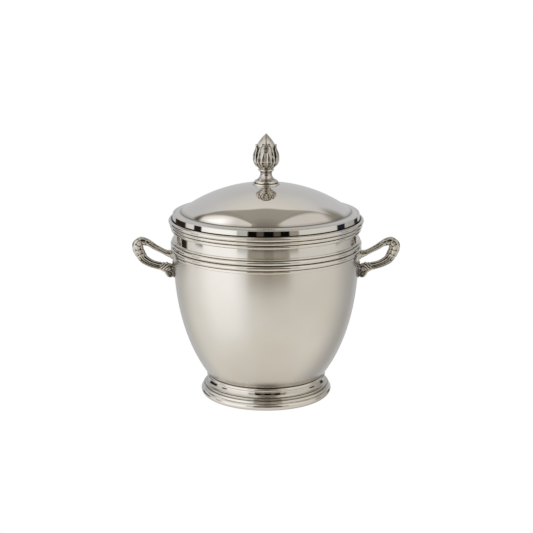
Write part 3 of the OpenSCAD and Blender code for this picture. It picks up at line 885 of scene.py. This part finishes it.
def makeCalyx():
    leaves = [makeLeaf(math.radians(90 * k), frontLeaf, leafRelief, 0, finial["leafTips"][k % 2])
              for k in range(4)]
    leaves += [makeLeaf(math.radians(90 * k + 45), backLeaf, ribRelief, finial["backInset"],
                        finial["backTip"])
               for k in range(4)]
    hole = studRadius + jointGap
    seatZ = cupZ + jointGap
    outline = [(hole, seatZ), (3.5, seatZ), (4.4, cupZ + 1.0), (5.2, cupZ + 2.2), (4.6, cupZ + 2.3),
               (3.8, cupZ + 1.2), (3.2, cupZ + 0.62), (hole, cupZ + 0.62), (hole, seatZ)]
    cup = turnPiece("calyxCup", outline, 96)
    piece = joinPieces(leaves + [cup], "finialLeaves", 50)
    # tarnish and painted shade in the leaves' hollows
    markHollows(piece, hollowDepth["leaves"])
    fitPiece(piece, "lid", "finial_calyx", castFinish)


def makeBud():
    # square in plan with soft edges to the front, back and sides, drawn in to a point
    hole = studRadius + jointGap
    boreZ = cupZ + finial["boreDepth"]
    base = finial["coreBase"]
    coreTop = cupZ + finial["coreShare"] * (calyxHigh.z - cupZ)
    outline = [(0, boreZ), (hole, boreZ), (hole, cupZ + base), (2.9, cupZ + base)]
    for i in range(1, 11):
        rise = base + (coreTop - cupZ - base) * i / 10
        outline.append((leafReach(rise) - finial["coreInset"], cupZ + rise))
    outline.append((0, coreTop))
    core = turnPiece("budCore", outline, 96)
    # the core, seen between the leaves, is painted with shade all over
    markHollows(core, None, lambda x, z: 1.0)

    startPiece()
    spireZ = calyxHigh.z - 1
    steps = finial["spireSteps"]
    rise = (budHigh.z - spireZ) / steps * mm
    bpy.ops.mesh.primitive_circle_add(vertices=96, radius=finial["budHalf"] * mm, fill_type="NGON",
                                      location=(0, 0, (coreTop - 1) * mm))
    spire = bpy.context.object
    openMesh()
    bpy.ops.mesh.extrude_region_move(TRANSFORM_OT_translate={"value": (0, 0, (spireZ - coreTop + 1) * mm)})
    last = 1.0
    for i in range(1, steps + 1):
        t = i / steps
        size = max(1 - t ** 1.5, 0.004)
        bpy.ops.mesh.extrude_region_move(TRANSFORM_OT_translate={"value": (0, 0, rise)})
        bpy.ops.transform.resize(value=(size / last, size / last, 1), center_override=(0, 0, 0))
        last = size
    closeMesh()
    bpy.ops.object.transform_apply(location=True)
    power = finial["budSquare"]
    for vertex in spire.data.vertices:
        # the circle becomes a square standing on its corner
        angle = math.atan2(vertex.co.y, vertex.co.x)
        flat = (abs(math.cos(angle)) ** power + abs(math.sin(angle)) ** power) ** (-1 / power)
        vertex.co.x *= flat
        vertex.co.y *= flat
    spire = endPiece(spire, "budSpire", 60)
    # painted shade low on the spire, among the leaves
    markHollows(spire, hollowDepth["plain"], lambda x, z: smoothStep(calyxHigh.z - 1.5, calyxHigh.z - 3.5, z))
    piece = joinPieces([core, spire], "finialBud", 60)
    fitPiece(piece, "lid", "finial_bud", budFinish)


def makeFixings():
    studLow, studHigh = nodeBox("finial_stud")
    washerLow, washerHigh = nodeBox("finial_washer")
    nutLow, nutHigh = nodeBox("finial_nut")
    pitch = 0.5
    root = studRadius - 0.28
    tipX = studRadius - 0.35
    edgeX = studRadius - 0.1
    z = studLow.z + 0.25
    outline = [(0, studLow.z), (tipX, studLow.z), (edgeX, z)]
    while z + pitch < studHigh.z - 0.3:
        outline += [(root, z + 0.1), (studRadius, z + 0.3), (studRadius, z + 0.38)]
        z += pitch
    outline += [(edgeX, studHigh.z - 0.25), (tipX, studHigh.z), (0, studHigh.z)]
    piece = turnPiece("finialStud", outline, 64, 20)
    fitPiece(piece, "lid", "finial_stud", steelFinish)

    hole = studRadius + jointGap
    soft = 0.12
    outer = washerHigh.x - soft
    outline = [(hole, washerLow.z)] + arc(outer, washerLow.z + soft, soft, -90, 0, 3)
    outline += arc(outer, washerHigh.z - soft, soft, 0, 90, 3)
    outline += [(hole, washerHigh.z), (hole, washerLow.z)]
    piece = turnPiece("finialWasher", outline, 96)
    fitPiece(piece, "lid", "finial_washer", steelFinish)

    startPiece()
    bpy.ops.mesh.primitive_cylinder_add(vertices=6, radius=nutHigh.x * mm, depth=(nutHigh.z - nutLow.z) * mm,
                                        location=(0, 0, (nutLow.z + nutHigh.z) / 2 * mm))
    nut = bpy.context.object
    openMesh()
    bpy.ops.mesh.select_all(action="SELECT")
    bpy.ops.mesh.bevel(offset=0.18 * mm, segments=3, affect="EDGES")
    closeMesh()
    bpy.ops.object.transform_apply(location=True)
    startPiece()
    bpy.ops.mesh.primitive_cylinder_add(vertices=48, radius=hole * mm, depth=20 * mm,
                                        location=(0, 0, nutLow.z * mm))
    drill = bpy.context.object
    applyModifier(nut, "BOOLEAN", object=drill, operation="DIFFERENCE", solver="EXACT")
    bpy.data.objects.remove(drill)
    endPiece(nut, "finialNut", 25)
    fitPiece(nut, "lid", "finial_nut", steelFinish)


makePedestal()
makeCalyx()
makeBud()
makeFixings()
print("finial made")

# handle: places from the upper root, mm: out, up, half height, half width front to back
handle = {
    "loop": [(-0.4, 0.0, 2.2, 2.0), (2.05, 0.6, 1.5, 1.75), (3.95, 1.5, 1.2, 1.65), (7.9, 3.6, 1.35, 1.7),
             (10.3, 5.2, 1.45, 1.9), (12.6, 6.25, 1.7, 2.2), (15.0, 6.5, 2.15, 2.6),
             (16.75, 4.7, 2.55, 2.75), (16.55, 2.3, 2.55, 2.75), (15.45, 0.0, 2.4, 2.6),
             (13.9, -2.5, 2.1, 2.35), (12.2, -3.8, 1.9, 2.0), (9.95, -5.0, 1.75, 1.8),
             (7.1, -5.9, 1.7, 1.7), (4.4, -6.4, 1.9, 1.7), (2.2, -6.6, 2.2, 1.7), (-0.5, -7.3, 1.9, 1.6)],
    "volute": [(6.4, -7.0, 0.7, 1.3), (4.4, -7.7, 1.0, 1.6), (2.9, -8.7, 0.9, 1.65),
               (2.2, -10.1, 0.75, 1.65), (1.3, -11.3, 0.65, 1.6), (0.0, -11.4, 0.6, 1.55),
               (-0.9, -10.3, 0.7, 1.5), (-0.6, -9.1, 0.9, 1.45), (0.4, -8.6, 0.8, 1.4)],
    "round": 64,  # points round each bar
    "length": 260,  # rings along the loop
    "voluteLength": 90,
    "rows": 17,  # rows of scales, if they ran all round the loop
    "strap": 2.5,  # squareness of the bars' section: 2 is round
    "eye": (0.6, -10.1, 1.45),  # the volute's eye: out, up, radius
}

collarLow, collarHigh = nodeBox("handle_collar_right")
rootX = collarHigh.x - 0.1
rootZ = (collarLow.z + collarHigh.z) / 2


def loopRelief(s, angle):
    # s runs from the upper root to the lower one; the angle is 0 outwards from the loop, 90 to the front
    top = math.cos(angle)
    side = abs(math.sin(angle))
    strap = smoothStep(0.04, 0.1, s) * (1 - smoothStep(0.27, 0.34, s))
    relief = strap * (0.08 - 0.36 * hump(top, 0.1, 0.26))
    scales = smoothStep(0.27, 0.33, s) * (1 - smoothStep(0.6, 0.66, s))
    row = (s - 0.27) * handle["rows"] - 0.8 * (1 - side)
    step = row - math.floor(row)
    relief += scales * (0.34 * smoothStep(0.0, 0.18, step) * (1 - step) - 0.05)
    relief += scales * 0.1 * math.cos(8 * angle)
    relief -= smoothStep(0.3, 0.36, s) * (1 - smoothStep(0.62, 0.7, s)) * 0.35 * hump(top, -0.62, 0.14)
    flutes = smoothStep(0.57, 0.64, s) * (1 - smoothStep(0.84, 0.9, s))
    relief += flutes * 0.24 * math.cos(2 * math.pi * 2.1 * top) * smoothStep(0.0, 0.4, side)
    frond = smoothStep(0.83, 0.88, s) * (1 - smoothStep(0.94, 0.98, s))
    relief += frond * 0.2 * math.cos(2 * math.pi * (26 * s + 1.2 * top))
    return relief


def makeBar(name, points, relief, rings):
    # a straight bar of joined rings, then each ring is shaped and set along the line
    count = handle["round"]
    startPiece()
    bpy.ops.mesh.primitive_circle_add(vertices=count, radius=1, rotation=(0, math.pi / 2, 0))
    bar = bpy.context.object
    openMesh()
    bpy.ops.mesh.extrude_region_move(TRANSFORM_OT_translate={"value": (1, 0, 0)})
    closeMesh()
    bpy.ops.object.transform_apply(rotation=True)
    applyModifier(bar, "ARRAY", count=rings, use_merge_vertices=True, merge_threshold=0.01)
    stations = evenStations(points, rings)
    power = handle["strap"]
    for vertex in bar.data.vertices:
        ring = min(max(int(round(vertex.co.x)), 0), rings)
        s, place, along, outward, halfHeight, halfWidth = stations[ring]
        angle = math.atan2(vertex.co.y, vertex.co.z)
        # a soft strap: a circle with flattened sides
        flat = (abs(math.cos(angle)) ** power + abs(math.sin(angle)) ** power) ** (-1 / power)
        lift = relief(s, angle)
        cap = math.sqrt(max(0.0, 1 - max(0.0, 1 - min(ring, rings - ring) / 3.0) ** 2))
        height = (halfHeight * flat + lift) * math.cos(angle) * (0.55 + 0.45 * cap)
        width = (halfWidth * flat + lift) * math.sin(angle) * (0.55 + 0.45 * cap)
        vertex.co = (place + outward * height + Vector((0, -1, 0)) * width) * mm
    pickPiece(bar)
    openMesh()
    bpy.ops.mesh.select_all(action="DESELECT")
    bpy.ops.mesh.select_mode(type="VERT")
    bpy.ops.mesh.select_non_manifold()
    bpy.ops.mesh.edge_face_add()
    closeMesh()
    return endPiece(bar, name, 50)


def evenStations(points, rings):
    # places at even steps along the line, with its direction and the side away from the loop
    count = 600
    fine = [curvePoint(points, i / count) for i in range(count + 1)]
    run = [0.0]
    for a, b in zip(fine, fine[1:]):
        run.append(run[-1] + math.hypot(b[0] - a[0], b[1] - a[1]))
    stations = []
    at = 0
    for k in range(rings + 1):
        want = run[-1] * k / rings
        while at < count - 1 and run[at + 1] < want:
            at += 1
        f = (want - run[at]) / max(run[at + 1] - run[at], 1e-9)
        here = [a + (b - a) * f for a, b in zip(fine[at], fine[at + 1])]
        before = fine[max(at - 4, 0)]
        after = fine[min(at + 5, count)]
        along = Vector((after[0] - before[0], 0, after[1] - before[1])).normalized()
        outward = Vector((-along.z, 0, along.x))
        place = Vector((rootX + here[0], 0, rootZ + here[1]))
        stations.append((k / rings, place, along, outward, here[2], here[3]))
    return stations


def plainRelief(s, angle):
    return 0.14 * hump(abs(math.cos(angle)), 0.9, 0.2) - 0.06


def makeBoss():
    # the round eye of the volute, a flattened ball with a rim
    out, up, radius = handle["eye"]
    startPiece()
    bpy.ops.mesh.primitive_uv_sphere_add(segments=48, ring_count=32, radius=radius * mm,
                                         rotation=(math.pi / 2, 0, 0),
                                         location=((rootX + out) * mm, 0, (rootZ + up) * mm))
    boss = bpy.context.object
    for vertex in boss.data.vertices:
        away = math.hypot(vertex.co.x, vertex.co.y) / (radius * mm)
        vertex.co.z *= 1.0 + 0.16 * hump(away, 0.25, 0.2) - 0.16 * hump(away, 0.6, 0.12)
    return endPiece(boss, "voluteBoss", 60)


def makeHandle():
    loop = makeBar("handleLoop", handle["loop"], loopRelief, handle["length"])
    volute = makeBar("handleVolute", handle["volute"], plainRelief, handle["voluteLength"])
    return joinPieces([loop, volute, makeBoss()], "handleRight", 50)


def makePad():
    # a small shield that carries the upper root over the girdle: crowned, narrower below, its edge raised
    startPiece()
    low, high = nodeBox("handle_collar_right")
    size = high - low
    bpy.ops.mesh.primitive_cube_add(size=2, location=(low + high) / 2 * mm)
    pad = bpy.context.object
    openMesh()
    bpy.ops.mesh.subdivide(number_cuts=30)
    closeMesh()
    for vertex in pad.data.vertices:
        out, across, up = vertex.co
        rim = max(abs(across), abs(up))
        crown = 0.3 * (across ** 2 + up ** 2) / 2 - 0.12 * hump(rim, 0.86, 0.07) + 0.1 * hump(rim, 0.68, 0.08)
        width = 1 - 0.1 * up ** 2 - 0.22 * smoothStep(0.2, -1.0, up)
        shaped = Vector(((out - (out + 1) * crown) * size.x, across * width * size.y, up * size.z))
        vertex.co = shaped / 2 * mm
    applyModifier(pad, "BEVEL", width=0.1 * mm, segments=3, limit_method="ANGLE",
                  angle_limit=math.radians(60))
    return endPiece(pad, "handlePadRight", 50)


def makePlate():
    # a small leaf laid on the belly behind the lower root, point down
    low, high = nodeBox("handle_plate_right")
    half = (high.y - low.y) / 2
    startPiece()
    bpy.ops.mesh.primitive_grid_add(x_subdivisions=40, y_subdivisions=60, size=2)
    plate = bpy.context.object
    for vertex in plate.data.vertices:
        u = vertex.co.x
        v = (1 - vertex.co.y) / 2
        swell = math.sin(math.pi * min(1.0, 0.12 + 0.88 * v) ** 0.75)
        width = half * math.sqrt(max(0.02, swell)) * (1 - 0.25 * v)
        y = u * width
        z = high.z - v * (high.z - low.z)
        relief = 0.3 * hump(abs(u), 0.85, 0.15) - 0.25 * hump(u, 0.0, 0.12)
        relief += 0.1 * math.cos(12 * v - 5 * abs(u))
        radius = bellyAt(z) + 0.5 + 0.3 * relief
        vertex.co = Vector((math.sqrt(radius ** 2 - y ** 2), y, z)) * mm
    applyModifier(plate, "SOLIDIFY", thickness=0.45 * mm, offset=0)
    return endPiece(plate, "handlePlateRight", 50)


def mirrorPiece(piece, name):
    # the left-hand piece has its own mesh, turned the right way out again
    twin = piece.copy()
    twin.data = piece.data.copy()
    bpy.context.scene.collection.objects.link(twin)
    twin.data.transform(Matrix.Scale(-1, 4, (1, 0, 0)))
    return endPiece(twin, name, 50)


def shadeBehindVolute(x, z):
    # painted shade on the side towards the belly, low down by the volute
    return 0.55 * smoothStep(rootX + 2.0, rootX + 0.3, x) * smoothStep(rootZ - 4.5, rootZ - 6.5, z)


def makeHandles():
    for side, build in (("handle", makeHandle), ("handle_collar", makePad), ("handle_plate", makePlate)):
        right = build()
        left = mirrorPiece(right, right.name.replace("Right", "Left"))
        for piece, hand in ((right, "right"), (left, "left")):
            # tarnish and painted shade in the hollows, and painted shade low on the side towards the belly
            markHollows(piece, hollowDepth["handles"], shadeBehindVolute)
            fitPiece(piece, "bowl", f"{side}_{hand}", castFinish)


makeHandles()
print("handles made")
